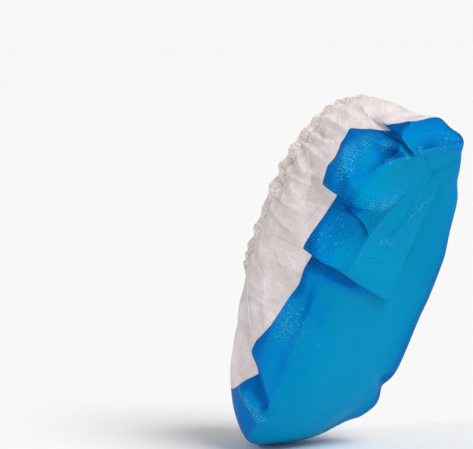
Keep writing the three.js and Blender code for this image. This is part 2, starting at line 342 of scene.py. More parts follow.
def mirrorColumn(column):
    return (columnCount - column) % columnCount


# Normals of a grid of points: the cross product of each face's diagonals is added to its corners.
# On the middle line of the sole the two flanks share theirs.
def gridNormals(points):
    right = np.roll(points, -1, axis=1)
    face = np.cross(points[1:] - right[:-1], right[1:] - points[:-1])
    normals = np.zeros_like(points)
    for part in (face, np.roll(face, 1, axis=1)):
        normals[:-1] += part
        normals[1:] += part
    normals[-1] += normals[-1][mirrorColumn(np.arange(columnCount))]
    return normals / np.linalg.norm(normals, axis=-1, keepdims=True)


# Normal of the plain skin: the cross product of a small step in depth and one in turn, with a
# trace pointing down for places where the steps vanish
def plainNormal(turn, depth):
    across = sprungSkin(turn + 0.3, depth) - sprungSkin(turn - 0.3, depth)
    along = sprungSkin(turn, depth + 0.03) - sprungSkin(turn, depth - 0.03)
    normal = np.cross(along, across) + np.array([0, 0, -1e-4])
    return normal / np.linalg.norm(normal, axis=-1, keepdims=True)


# Distance from each point to the line between start and end
def fromLine(point, start, end):
    along = end - start
    share = np.clip((point - start) @ along / (along @ along), 0, 1)
    return np.linalg.norm(point - start - share[..., None] * along, axis=-1)


# A fold's height falls off with distance from its line, as a bell, or from a crest that is sharp
# but for half a millimetre.
def foldRelief(point):
    total = np.zeros(point.shape[:-1])
    for row in foldTable:
        rise, width, isSharp = row[6:9]
        away = fromLine(point, row[:3], row[3:6])
        bell = np.exp(-((away / width) ** 2))
        crest = np.exp(-(np.sqrt(away**2 + 0.25) - 0.5) / width)
        total += rise * (crest if isSharp else bell)
    return total


# Each push falls off as a bell too, and where two meet the longer one holds.
def pushIn(point):
    total = np.zeros_like(point)
    for row in pushTable:
        move, width = row[6:9], row[9]
        bell = np.exp(-((fromLine(point, row[:3], row[3:6]) / width) ** 2))[..., None]
        isLonger = bell * np.linalg.norm(move) > np.linalg.norm(total, axis=-1, keepdims=True)
        total = np.where(isLonger, move * bell, total)
    return point + total


# A periodic curve round the mouth: cosines of whole counts near a middle one, seeded.
def wander(turn, count, spread, seed):
    random = np.random.default_rng(seed)
    total = np.zeros_like(turn)
    for k in range(max(1, count - spread), count + spread + 1):
        size = random.normal() * math.exp(-(((k - count) / spread) ** 2))
        total += size * np.cos(np.radians(k * turn + random.uniform(0, 360)))
    return total / np.sqrt(np.mean(total**2) + 1e-9) / 1.4


# Distance down the skin along each column, from the mouth and from the hem's lower edge
down = np.concatenate([np.zeros((1, columnCount)), np.cumsum(
    np.linalg.norm(np.diff(plainSkin, axis=0), axis=-1), axis=0)])
below = down - skinSettings["hemWidth"]


# Even gathers mixed with uneven ones at the mouth, and below them creases, each a crest where a
# wave crosses zero.
def gatherRelief():
    s = gatherSettings
    wave = np.cos(np.radians(s["count"] * turns))
    mix = (1 - s["uneven"]) * wave + s["uneven"] * wander(turns, s["count"], s["spread"], 3)
    total = s["height"] * mix * (1 - smooth(0, s["reach"], below))
    for seed, (count, spread, height, length) in enumerate(s["creases"]):
        drift = wander(turns, 5, 3, 20 + seed) * s["drift"] * np.maximum(below, 0)
        wave = wander(turns + drift, count, spread, 10 + seed)
        crest = 1 - np.sqrt(wave**2 + 0.02) * s["sharpness"]
        total += height * crest * smooth(-6, 4, below) * (1 - smooth(length * 0.35, length, below))
    return total


# Height of the laps over the skin, how many degrees each column slides round to double back, and
# a painted shadow that falls off in front of each edge with the exponential of distance over reach
def pleatRelief(point):
    s = pleatSettings
    lift, slide, shade = np.zeros((3, *point.shape[:-1]))
    for pleat, start in zip(pleatTable, pleatStarts):
        past = pastPleat(pleat, turns, depths)
        place = np.arange(start, start + len(foldSection))
        past[:, place] = past[:, mirrorColumn(place)] = foldSection[:, 0]
        (startX, startY), (endX, endY) = pleat["crease"]
        slope = (endY - startY) / (endX - startX)
        inside = (startY + slope * (point[..., 0] - startX) - point[..., 1]) / math.hypot(1, slope)
        above = point[..., 2] - pleat["top"]
        window = smooth(0, s["across"], inside) * (1 - smooth(0, s["up"], above))
        step = np.interp(past, foldSection[:, 0], foldSection[:, 2])
        lap = pleat["rise"] * step * (1 - smooth(0, pleat["ramp"], past))
        dip = s["sink"] * (1 - step) * smooth(-s["sinkWidth"], 0, past)
        lift += (lap - dip) * window
        doubled = smooth(*s["slideAcross"], inside) * (1 - smooth(*s["slideUp"], above))
        slide += np.interp(past, foldSection[:, 0], foldSection[:, 1]) * doubled / pleat["perTurn"]
        fall = np.exp(np.minimum(past + s["hidden"], 0) / s["shadeReach"])
        isLower = past < -0.4
        shade += s["shade"] * fall * smooth(*s["shadeAcross"], inside) * isLower * window
    return lift, slide, shade


# Each facet's plane cuts off what stands outside it: the distance d beyond the plane becomes
# the soft minimum of d and 0.
def pressFlat(point):
    for first, second, third, softness, (start, end, fade) in facetTable:
        first, second, third = (np.array(p, float) for p in (first, second, third))
        normal = np.cross(second - first, third - first)
        normal *= -np.sign(normal[2]) / np.linalg.norm(normal)
        beyond = (point - first) @ normal
        soft = softness * np.logaddexp(0, beyond / softness)
        x = point[..., 0]
        window = smooth(start - fade, start, x) * (1 - smooth(end, end + fade * 0.6, x))
        point = point - normal * (soft * window)[..., None]
    return point


lift, slide, lapShade = pleatRelief(plainSkin)
slidTurns = turns + np.where(np.arange(columnCount) < columnCount // 2, slide, -slide)
slidSkin = sprungSkin(slidTurns, depths)
normals = plainNormal(slidTurns, depths)
folded = pressFlat(pushIn(slidSkin) + normals * foldRelief(slidSkin)[..., None])
outside = folded + normals * (lift + gatherRelief())[..., None]
outsideNormals = gridNormals(outside)

mouthCentre = ringPoint(np.zeros(3600, int), np.arange(3600) / 10).mean(axis=0)


# Turned by the pitch about the y axis and moved, so that the mouth's middle is the origin, in metres
def inFrame(points):
    lean = math.radians(foot["pitch"])
    x, y, z = np.moveaxis(points - mouthCentre, -1, 0)
    turned = [x * math.cos(lean) - z * math.sin(lean), y, x * math.sin(lean) + z * math.cos(lean)]
    return np.stack(turned, -1) / 1000


# The pattern map, in metres: along a row from the near flank, and down a column from the mouth.
# Under the sole it is the plain place on the foot.
wallAlong = np.concatenate([np.zeros((lastRow + 1, 1)), np.cumsum(
    np.linalg.norm(np.roll(plainSkin, -1, axis=1) - plainSkin, axis=-1), axis=1)], axis=1)
wallAlong -= wallAlong[:, [columnCount // 4]]
wrapped = np.concatenate([plainSkin, plainSkin[:, :1]], axis=1)
wallDown = np.concatenate([down, down[:, :1]], axis=1)
wallMap = np.stack([wallAlong, wallDown], -1) / 1000
soleMap = wrapped[..., :2] / 1000


def addObject(name, data):
    made = bpy.data.objects.new(name, data)
    bpy.context.collection.objects.link(made)
    return made


# A closed thin shell from rows first to last of the skin: the outside, the inside a wall further
# in, and a rim along each open edge. A face's corners are steps in row, column and layer.
def shell(name, first, last, wall, lower, marks, closes=False):
    rows = last - first + 1
    outer = (outside + outsideNormals * lower[..., None])[first:last + 1]
    inner = outer - outsideNormals[first:last + 1] * wall
    points = inFrame(np.concatenate([outer.reshape(-1, 3), inner.reshape(-1, 3)]))

    def number(row, column, layer):
        around = column % columnCount
        if closes:
            around = np.where(row == rows - 1, np.minimum(around, columnCount - around), around)
        return (layer * rows + row) * columnCount + around

    r, c = np.meshgrid(np.arange(rows - 1), np.arange(columnCount), indexing="ij")
    sides = [
        (r, c, [(0, 0, 0), (1, 0, 0), (1, 1, 0), (0, 1, 0)]),
        (r, c, [(0, 1, 1), (1, 1, 1), (1, 0, 1), (0, 0, 1)]),
        (r[0], c[0], [(0, 0, 0), (0, 1, 0), (0, 1, 1), (0, 0, 1)]),
    ]
    if not closes:
        sides.append((r[-1] + 1, c[0], [(0, 0, 0), (0, 0, 1), (0, 1, 1), (0, 1, 0)]))
    faces, maps = [], []
    for row, column, steps in sides:
        isSole = (depths[first + row, column] > skinSettings["soleDepth"])[..., None]
        corners = [number(row + i, column + j, layer) for i, j, layer in steps]
        places = [(first + row + i, column + j) for i, j, layer in steps]
        spots = [np.where(isSole, soleMap[place], wallMap[place]) for place in places]
        faces.append(np.stack(corners, -1).reshape(-1, 4))
        maps.append(np.stack(spots, -2).reshape(-1, 4, 2))
    faces, maps = np.concatenate(faces), np.concatenate(maps)
    used, faces = np.unique(faces, return_inverse=True)
    faces = faces.reshape(-1, 4)
    mesh = bpy.data.meshes.new(name)
    mesh.from_pydata(points[used].tolist(), [], faces.tolist())
    mesh.uv_layers.new(name="surface").data.foreach_set("uv", maps.ravel())
    for mark, values in marks.items():
        layer = np.tile(values[first:last + 1].ravel(), 2)[used]
        mesh.attributes.new(mark, "FLOAT", "POINT").data.foreach_set("value", layer.astype(np.float32))
    lining = np.zeros(len(faces), int)
    lining[r.size:2 * r.size] = 1
    mesh.polygons.foreach_set("material_index", lining)
    mesh.shade_smooth()
    mesh.set_sharp_from_angle(angle=math.radians(skinSettings["sharpAngle"]))
    piece = addObject(name, mesh)
    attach(piece, "root")
    return piece


# How far each row of a piece stands off the skin; the overlapped rows of the nonwoven go under.
flush, under = np.zeros((2, lastRow + 1, columnCount))
under[np.maximum(rowNumber - seamRow, hemRow - rowNumber) >= 0] = -skinSettings["tuck"]
under[[hemRow + 1, seamRow - 1]] = -skinSettings["tuckBefore"]
over = skinSettings["overlap"]
walls = skinSettings["wall"]

# Marks that the film's material reads. Tone goes from 0 on the flanks to 1 under the sole, with a
# bell up or down round each place of the tone table, most of them painted shade and painted light.
# Glint is a bell round each place of painted glints, where the creased film catches the light. Taut
# is 1 where the film is drawn tight under the sole, and rim is the painted shade that darkens the
# far edge of the sole. A place is x, y, z, spread and strength.
glintTable = np.array([
    [277, -40, 30, 12, 1], [268, -43, 24, 9, 0.9], [290, -36, 26, 8, 0.9],  # lobe
    [297, -32, 13, 6, 0.9],
    [309, 12, -1, 8, 0.9], [307, -14, -2, 5, 0.9], [309, 2, 4, 8, 0.6], [310, 20, 0, 7, 0.8],  # heel flap
    [292, -36, 0, 4, 0.9], [298, -22, -3, 4, 0.9],  # line of the heel
    [259, -42, -2, 5, 1], [258, -32, -1, 6, 1], [260, -22, 0, 5, 1],  # lap of the heel
    [252, -45, -2, 4, 0.5], [246, -34, 0, 6, 0.6],
    [222, -14, 0, 2.5, 1], [222, -9, 0, 3, 1], [220, -4, 0, 2.5, 0.9],  # arch
    [244, 6, 0, 3, 0.9], [250, 10, 0, 3.5, 1], [256, 14, 0, 3.5, 1], [261, 18, 0, 3, 0.7],
    [140, -58, 18, 22, 0.8], [228, -56, 12, 22, 0.4],  # flanks
    [125, -47, 6, 13, 0.4], [141, -51, 8, 9, 0.55],
    [58, -53, 40, 4, 0.7], [57, -54, 32, 5, 1.2], [54, -53, 26, 5, 1.5],  # toe bump
    [53.5, -54, 17.5, 5, 1.8], [51.5, -53, 14, 4, 1.8],
], float)
# Below zero, painted shade in crevices, valleys, under the laps and at the far edge; above zero, painted
# light on the lit lobe, ridges and toe bump, and the sole's colour where it is drawn up at the heel
toneTable = np.array([
    [311, 0, 3, 15, -0.5], [309, 18, 1, 12, -0.3], [308, -20, 10, 10, -0.35],  # heel flap
    [299, -31, 1, 4, -0.6],
    [262, -46, 5, 9, 0.5], [274, -43, 2, 8, 0.4],  # the sole drawn up at the heel
    [281, -39, 28, 12, 0.45], [283, -42, 11, 8, 0.5], [296, -35, 3, 6, -0.3],  # lobe
    [275, -50, 34, 7, -0.4], [258, -54, 24, 7, 0.2],
    [228, -55, 16, 20, -0.25], [242, -52, 10, 14, -0.35], [250, -49, 4, 8, -0.3],  # arch
    [245, -47, 20, 6, -0.5], [249, -48, 11, 6, -0.5], [250, -46, 4, 6, -0.4], [252, -46, 0, 5, -0.4],
    [241, -31, 4, 7, -0.3], [236, -28, 0, 6, -0.2],
    [209, -55, 18, 7, -0.35], [208, -53, 11, 7, -0.4], [205, -45, 8, 10, -0.35],
    [169, -57, 24, 6, -0.55], [164, -54, 18, 6, -0.4], [157, -50, 9, 7, -0.3],  # arch valley
    [148, -43, 4.5, 7, -0.25], [150, -60, 22, 9, 0.15],
    [80, -58, 33, 6, -0.5], [70, -57, 27, 6, -0.6], [63, -54, 14, 4, -0.4],  # toe valley
    [50, -51, 8, 8, -0.4], [96, -59, 12, 9, 0.3], [82, -58, 11, 8, 0.4],
    [60, -54, 34, 6, 0.25], [56, -53.5, 28, 5, 0.3], [53.5, -53.5, 19, 5, 0.3], [66, -56, 22, 4, -0.5],
    [132, -61, 14, 20, 0.25],
    [75, 52, 8, 16, -0.15], [308, 28, -2, 9, -0.5], [290, 40, 0, 8, -0.4],  # far edge
    [52, 46, 14, 9, -0.5],
], float)
markSettings = {
    "flank": 0.15,  # tone of the flanks, and what the sole adds to it
    "sole": 0.85,
    "edge": 0.25,  # darker along the film's edge, over edgeReach millimetres
    "edgeReach": 14,
    "ball": 0.32,  # darker under the ball, between these x on the near side
    "ballFrom": (60, 110),
    "ballTo": (150, 200),
    "ballAcross": (-56, -14),
    # painted shade at the far edge of the sole, in the tone and in the rim
    "farTone": [(26, 44, 0.2), (44, 56, 0.4)],  # darker across the sole: from y, to y, how much
    "farRim": [(34, 46, 0.06), (44, 55, 0.22)],
    "slack": (246, -34, 14),  # x, y and spread of the one part of the sole that isn't taut
}


# The bell round each place of a table: strength by the exponential of minus distance over spread,
# squared
def bells(table):
    for place in table:
        away = np.linalg.norm(plainSkin - place[:3], axis=-1)
        yield place[4] * np.exp(-((away / place[3]) ** 2))


def filmMarks():
    s = markSettings
    sole = smooth(-0.1, 1.0, -outsideNormals[..., 2])
    edge = 1 - smooth(0, s["edgeReach"], down - down[seamRow])
    x, y, z = np.moveaxis(plainSkin, -1, 0)
    ball = smooth(*s["ballFrom"], x) * (1 - smooth(*s["ballTo"], x)) * (1 - smooth(*s["ballAcross"], y))
    # less lapShade, the painted shadow in front of each lap
    tone = s["flank"] + s["sole"] * sole - s["edge"] * edge - lapShade
    tone -= s["ball"] * ball * smooth(0.3, 0.9, sole)
    underneath = smooth(3.4, 4.4, depths)
    tone -= sum(share * smooth(low, high, y) for low, high, share in s["farTone"]) * underneath
    rim = sum(share * smooth(low, high, y) for low, high, share in s["farRim"]) * underneath
    slackX, slackY, spread = s["slack"]
    away = np.hypot(x - slackX, y - slackY)
    taut = smooth(4.4, 5.2, depths) * (1 - np.exp(-((away / spread) ** 2)))
    tone += sum(bells(toneTable))
    glint = np.max(list(bells(glintTable)), axis=0)
    return {"tone": np.clip(tone, -0.8, 1), "glint": glint, "taut": taut, "rim": rim}


# The nonwoven is most creased by the mouth; toSeam goes from 0 at the film to 1 ten millimetres up.
fabricMarks = {
    "crumple": 0.6 + 0.25 * (1 - smooth(5, 60, below)),
    "toSeam": np.clip((down[seamRow] - down) / 10, 0, 1),
}
elasticHem = shell("elasticHem", 0, hemRow, walls["hem"], flush, fabricMarks)
upperFabric = shell("upperFabric", hemRow - over, seamRow + over, walls["upper"], under, fabricMarks)
soleFilm = shell("soleFilm", seamRow, lastRow, walls["film"], flush, filmMarks(), closes=True)
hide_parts("elastic_hem")
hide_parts("upper_fabric")
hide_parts("sole_film")
print("three shells made")


# sRGB hex to linear colour
def colour(text):
    parts = np.array([int(text[i:i + 2], 16) / 255 for i in (1, 3, 5)])
    linear = np.where(parts <= 0.04045, parts / 12.92, ((parts + 0.055) / 1.055) ** 2.4)
    return (*linear, 1.0)


# Adds a node with its settings, and with inputs that are values or other nodes: a node given
# there stands for its first output. Inputs come by name or number, or in order as a list.
def addNode(tree, kind, settings=None, inputs=()):
    made = tree.nodes.new("ShaderNode" + kind)
    for key, value in (settings or {}).items():
        setattr(made, key, value)
    for key, value in inputs.items() if isinstance(inputs, dict) else enumerate(inputs):
        if isinstance(value, bpy.types.Node):
            value = value.outputs[0]
        if isinstance(value, bpy.types.NodeSocket):
            tree.links.new(value, made.inputs[key])
        else:
            made.inputs[key].default_value = value
    return made


# A material with an empty tree, and addNode bound to that tree
def newMaterial(name):
    material = bpy.data.materials.new(name)
    material.use_nodes = True
    material.node_tree.nodes.clear()
    return material, functools.partial(addNode, material.node_tree)


# Settings that many nodes share
plus, minus, times, timesPlus, absolute, exponent, sine, dotProduct, length, scale = (
    {"operation": name} for name in (
        "ADD", "SUBTRACT", "MULTIPLY", "MULTIPLY_ADD", "ABSOLUTE", "EXPONENT", "SINE", "DOT_PRODUCT",
        "LENGTH", "SCALE"))
eased = {"interpolation_type": "SMOOTHSTEP"}
ofColours = {"data_type": "RGBA"}
seeded = {"noise_dimensions": "4D"}


# Ends a material: colours are laid over the base, each by its share, and scaled by kept, the painted
# shade and light of the creases; reliefs, heights and how many millimetres tall, lie one upon another;
# roughness goes with the patches.
def endMaterial(add, s, base, layers, kept, reliefs, patches):
    for share, over in layers:
        base = add("Mix", ofColours, {0: share, 6: base, 7: colour(over)}).outputs[2]
    base = add("VectorMath", scale, {0: base, "Scale": kept})
    beneath = {}
    for height, tall in reliefs:
        beneath = {"Normal": add("Bump", {}, {"Height": height, "Distance": tall / 1000, **beneath})}
    roughness = add("MapRange", {}, [patches, 0.3, 0.7, *s["roughness"]])
    shader = add("BsdfPrincipled", {}, {
        "Base Color": base, "Roughness": roughness, "IOR": s["ior"],
        "Specular IOR Level": s["specular"], **beneath})
    add("OutputMaterial", {}, {"Surface": shader})


# A lattice of small lozenges, staggered: the product of two sines across the surface map, which
# is turned 45 degrees and drawn a little out of true by a noise, sizes in millimetres
latticeSettings = {"noiseSize": 4, "outOfTrue": 2.2}


def lattice(add, pitch):
    s = latticeSettings
    place = add("UVMap", {"uv_map": "surface"})
    noise = add("TexNoise", {}, {"Vector": place, "Scale": 1000 / s["noiseSize"], "Detail": 1.0})
    drawn = add("VectorMath", timesPlus, [noise.outputs["Color"], [s["outOfTrue"] / 1000] * 3, place])
    turned = add("Mapping", {}, {
        "Vector": drawn, "Rotation": (0, 0, math.radians(45)), "Scale": [math.pi * 1000 / pitch] * 3})
    waves = add("SeparateXYZ", {}, [add("VectorMath", sine, [turned])])
    return add("Math", times, [waves.outputs[0], waves.outputs[1]])


# Creases pressed into the film, finer than its mesh, painted dark on one side and light on the
# other: two ends, a place on the darker side, how dark, how far that side's painted shade reaches,
# and how high the crest stands
creaseTable = [
    [264, -47, 12, 284, -41, 3, 268, -44, 24, 0.3, 2, 0.3],  # line of the heel
    [284, -41, 3, 296, -32, -3, 294, -36, 8, 0.35, 4, 0.3],
    [296, -32, -3, 303, -7, -3, 309, -12, 3, 0.45, 8, 0.3],
    [303, -7, -3, 307, 22, -4, 313, 8, 3, 0.45, 8, 0.3],
    [278, -39, 42, 264, -46, 12, 262, -46, 28, 0.5, 7, 0.4],  # lobe
    [292, -35, 22, 300, -28, -1, 291, -37, 6, 0.6, 4, 0.4],
    [300, -25, 26, 304, -26, 12, 296, -31, 16, 1.4, 1.5, 0],
    [304, -26, 12, 304, -26, 0, 299, -31, 8, 1.0, 1, 0],
    [244, -43, 13, 236, -33, 5, 236, -38, 9, 1.0, 2.4, 0.3],  # arch
    [236, -33, 5, 231, -31, 0, 231, -34, 4, 1.0, 2.2, 0.3],
    [233, -30, 0, 225, -33, -1, 228, -40, 1, 0.4, 2, 0.2],
    [252, -16, 0, 227, -30, -1, 232, -35, 0, 0.45, 2.2, 0.3],
    [227, -30, -1, 202, -39, -1, 213, -43, 0, 0.45, 2.2, 0.3],
    [264, -9, 0, 250, -23, -1, 254, -12, 0, 0.4, 2.5, 0.2],
    [262, 18, 0, 228, -6, 0, 252, 5, 0, 0.5, 2.5, 0.6],
    [264, 8, 0, 280, 10, 0, 273, 14, 0, 0.35, 3, 0.4],
    [280, 10, 0, 283, 17, 0, 277, 16, 0, 0.3, 3, 0.3],
    [270, 1, 0, 246, -1, 0, 258, 3, 0, 0.35, 2.5, 0.2],
    [270, 22, 0, 207, 18, 0, 236, 32, 0, 0.3, 16, 0.3],
    [295, -2, -1, 282, 9, 0, 286, 1, 0, 0.45, 1.5, 0.2],  # heel
    [282, 9, 0, 292, 31, -3, 284, 22, 0, 0.5, 1.8, 0.2],
    [211, -23, -2, 207, -6, -2, 205, -15, -2, 0.6, 1.1, -0.3],  # small creases of the arch
    [207, -22, -3, 205, -8, -2, 203, -15, -2, 0.35, 1.1, -0.2],
    [219, -9, 0, 217, -3, 0, 216, -7, 0, 0.4, 1.2, -0.2],
    [79, -54, 31, 62, -50, 11, 66, -52, 32, 0.5, 4, 0.4],  # toe valley
]


# painted shade and painted light of each crease
creaseSettings = {
    "edge": 0.3,  # millimetres either side of the line, from dark to light
    "crestReach": 1.5,
    "light": 0.4,  # strength of the light, beside the shade's
}


# For each crease: a painted shade that falls off from its line on the darker side, with the exponential of
# distance over reach, and a thin painted light on the other side. Distance off the crease's own plane
# counts for the share offPlane. Gives the summed painted shade and height.
def creases(add, table, offPlane):
    edge = creaseSettings["edge"] / 1000
    solid = add("TexCoord").outputs["Object"]
    shade, height = 0.0, 0.0
    for row in table:
        start, end, dark = inFrame(np.reshape(row[:9], (3, 3)))
        strength, reach, rise = row[9:]
        along = end - start
        towards = dark - start - along * ((dark - start) @ along) / (along @ along)
        towards /= np.linalg.norm(towards)
        normal = np.cross(along, towards) / np.linalg.norm(along)
        fromStart = add("VectorMath", minus, [solid, start])
        share = add("VectorMath", dotProduct, [fromStart, along / (along @ along)]).outputs["Value"]
        reached = add("VectorMath", scale, {0: along, "Scale": add("Clamp", {}, [share])})
        away = add("VectorMath", minus, [fromStart, reached])
        off = add("VectorMath", dotProduct, [away, normal * (1 - offPlane)]).outputs["Value"]
        off = add("VectorMath", scale, {0: normal, "Scale": off})
        gap = add("VectorMath", length, [add("VectorMath", minus, [away, off])]).outputs["Value"]
        side = add("VectorMath", dotProduct, [away, towards]).outputs["Value"]
        onSide = add("MapRange", eased, [side, -edge, edge])
        offSide = add("MapRange", eased, [side, edge, -edge])
        fall = add("Math", exponent, [add("Math", times, [gap, -1000 / reach])])
        crest = add("Math", exponent, [add("Math", times, [gap, -1000 / creaseSettings["crestReach"]])])
        darker = add("Math", times, [fall, onSide])
        lighter = add("Math", times, [crest, offSide])
        shade = add("Math", timesPlus, [darker, strength, shade])
        shade = add("Math", timesPlus, [lighter, strength * -creaseSettings["light"], shade])
        height = add("Math", timesPlus, [crest, rise, height])
    return shade, height


# Polyethylene film, cast and embossed with a lattice of small lozenges: waxy and hardly glossy,
# deep blue on the flanks and greener under the sole, where it faces down. Its colour carries painted
# shade in crevices and under laps, and where it is creased, painted glints on the lozenges as pin-points.
filmSettings = {
    # painted shade: the crevice colour darkens the film where the tone falls below zero
    "creviceShade": "#003d84",
    "shadow": "#005daa",
    "flank": "#0080cb",
    "sole": "#0090c0",
    "steps": [("shadow", -0.7, 0.0), ("flank", 0.0, 0.45), ("sole", 0.4, 0.95)],  # tones that mix them
    # dot lightens the lozenges and also paints the sheen round glints; glint paints pin-point highlights
    "dot": "#00a4ec",
    "glint": "#66d6ff",
    "roughness": (0.3, 0.4),
    "ior": 1.51,
    "specular": 0.012,
    "patchSize": 26,  # sizes, pitches and heights in millimetres
    "patchTone": 0.2,
    # the creases' painted shade and painted light
    "creaseTone": 0.5,  # what a crease's shade takes from the tone, and from the light
    "creaseDark": 0.45,
    # painted sheen and painted pin-point glints, where glint is high
    "sheen": 0.25,
    "grainSize": 1.9,
    "sparkle": 0.95,
    "embossPitch": 1.2,
    "embossHeight": 0.17,
    "crinkleSize": 7,
    "crinkleHeight": 0.4,
}


def filmMaterial():
    material, add = newMaterial("embossedPolyethyleneFilm")
    s = filmSettings
    solid = add("TexCoord").outputs["Object"]
    tone, glint, taut, rim = [add("Attribute", {"attribute_name": mark}).outputs["Fac"]
                              for mark in ("tone", "glint", "taut", "rim")]
    shade, crests = creases(add, creaseTable, 1.0)

    # tone with broad patches, less the creases' painted shade, picks the colour from crevice shade to sole
    patches = add("TexNoise", {}, {
        "Vector": solid, "Scale": 1000 / s["patchSize"], "Detail": 3.0, "Roughness": 0.55})
    uneven = add("Math", timesPlus, [add("Math", minus, [patches, 0.5]), s["patchTone"], tone])
    mixedTone = add("Math", timesPlus, [shade, -s["creaseTone"], uneven])
    layers = [(add("MapRange", eased, [mixedTone, low, high]), s[name]) for name, low, high in s["steps"]]

    # lozenges are a little lighter, less so where the film is taut; a painted sheen and painted glints lie
    # on them where glint is high
    lozenges = lattice(add, s["embossPitch"])
    dots = add("MapRange", eased, [lozenges, 0.25, 0.9])
    faint = add("Math", times, [dots, add("Math", timesPlus, [taut, -0.4, 0.65])])
    sheen = add("Math", times, [glint, s["sheen"]])
    grains = add("TexNoise", seeded, {
        "Vector": solid, "W": 3.0, "Scale": 1000 / s["grainSize"], "Detail": 1.0})
    speckle = add("MapRange", eased, [add("Math", timesPlus, [glint, 0.4, grains]), 0.67, 0.9])
    sparkle = add("Math", times, [add("Math", times, [dots, speckle]), s["sparkle"]])
    layers += [(faint, s["dot"]), (sheen, s["dot"]), (sparkle, s["glint"])]
    # painted shade and light of the creases, and painted shade at the far rim, scale the colour
    kept = add("Math", timesPlus, [shade, -s["creaseDark"], add("Math", minus, [1.0, rim])])

    # height of crinkles and crests, then of the lozenges
    crinkles = add("TexNoise", seeded, {
        "Vector": solid, "W": 1.0, "Scale": 1000 / s["crinkleSize"], "Detail": 4.0})
    crinkled = add("Math", timesPlus, [crinkles, s["crinkleHeight"], crests])
    embossed = add("Math", times, [lozenges, add("Math", timesPlus, [glint, 1.5, 0.8])])
    reliefs = [(crinkled, 1), (embossed, s["embossHeight"])]
    endMaterial(add, s, colour(s["creviceShade"]), layers, kept, reliefs, patches)
    return material


# Creases of the nonwoven, in the same terms, with painted shade and painted light
fabricCreases = [
    [148, -54, 78, 133, -60, 61, 141, -61, 50, 0.45, 3, 0.5],  # long fold of the instep
    [133, -60, 61, 101, -59, 40, 119, -60, 34, 0.45, 3, 0.5],
    [148, -54, 78, 101, -59, 40, 113, -57, 60, 0.5, 14, 0],
    [162, -61, 57, 119, -60, 34, 133, -60, 60, 0.25, 5, 0.3],
    [166, -57, 73, 162, -61, 57, 152, -61, 55, 0.35, 1.5, 0.3],  # short ones
    [181, -61, 51, 175, -59, 43, 166, -60, 55, 0.45, 1.5, 0.3],
    [187, -59, 43, 181, -57, 35, 178, -60, 47, 0.4, 1.5, 0.3],
    [191, -62, 61, 196, -59, 41, 200, -60, 60, 0.4, 1.5, 0.3],
    [231, -54, 33, 217, -58, 35, 225, -56, 45, 0.35, 2, 0.3],
    [256, -43.5, 73, 251, -48, 62, 262, -44, 60, 0.5, 4, 0.6],  # fold above the arch
    [251, -48, 62, 244, -51, 53, 255, -49, 48, 0.5, 4, 0.6],
    [244, -51, 53, 231, -54, 48, 244, -52, 44, 0.4, 4, 0.6],
    [227, -44, 94, 240, -57, 53, 230, -54, 60, 0.5, 3, 0.6],  # folds that leave the hem
    [210, -50, 87, 219, -58, 52, 208, -58, 60, 0.5, 3, 0.6],
    [198, -47, 92, 204, -60, 48, 192, -60, 60, 0.45, 3, 0.5],
    [234, -42, 97, 244, -52, 67, 236, -50, 75, 0.4, 2.5, 0.4],
    [264, -33, 89, 262, -37, 79, 255, -38, 82, 0.35, 1.5, 0.3],
    [262, -37, 79, 266, -44, 50, 258, -43, 60, 0.35, 2, 0.3],
    [271, -23, 103, 269, -37, 68, 262, -34, 80, 0.35, 2, 0.4],
    [299, -17, 65, 299, -23, 44, 292, -28, 56, 0.45, 3, 0.5],  # heel
]


# Spun-bond polypropylene nonwoven: matt, off-white, with painted shade and light along its papery
# creases, and creamier where it is crumpled by the mouth. A fine grid of pressed bond points runs all over
# it.
# The hem, double and sewn round the elastic, is ribbed.
nonwovenSettings = {
    "tint": "#f2e9e9",
    "shade": "#d6cccb",
    "cream": "#d6c6ba",
    "seam": "#fbf5f4",
    "hem": "#f8eee9",
    "hemShade": "#ddd0ca",
    "roughness": (0.8, 0.92),
    "ior": 1.49,
    "specular": 0.3,
    "cloudSize": 18,  # sizes, pitches, widths and heights in millimetres
    "noises": ((2.0, 7, 0.4), (8.0, 11, 0), (4.0, 1.6, 0)),  # seed, size, distortion
    "creamShare": 0.45,
    "sealShare": 0.7,
    "creaseDark": 0.42,
    "bondPitch": 1.3,  # the real bond points are near 0.8 apart, too fine to show
    "bondHeight": 0.12,
    "bondContrast": 0.9,
    "wrinkles": ((0.3, 6, 0.0), (-0.35, 9, 5.0)),  # radians off the way down, width, seed
    "wrinkleLength": 32,
    "wrinkleHeight": 1.9,
    "crumpleHeight": 0.9,
    "ribPitch": 2.6,
    "ribHeight": 0.3,
    "ribWander": 9,
    "stitchDown": 8.5,
    "stitchLength": 3.4,
    "stitchWidth": (0.9, 0.2),
    "stitchHeight": 0.3,
    "fibreHeight": 0.15,
}


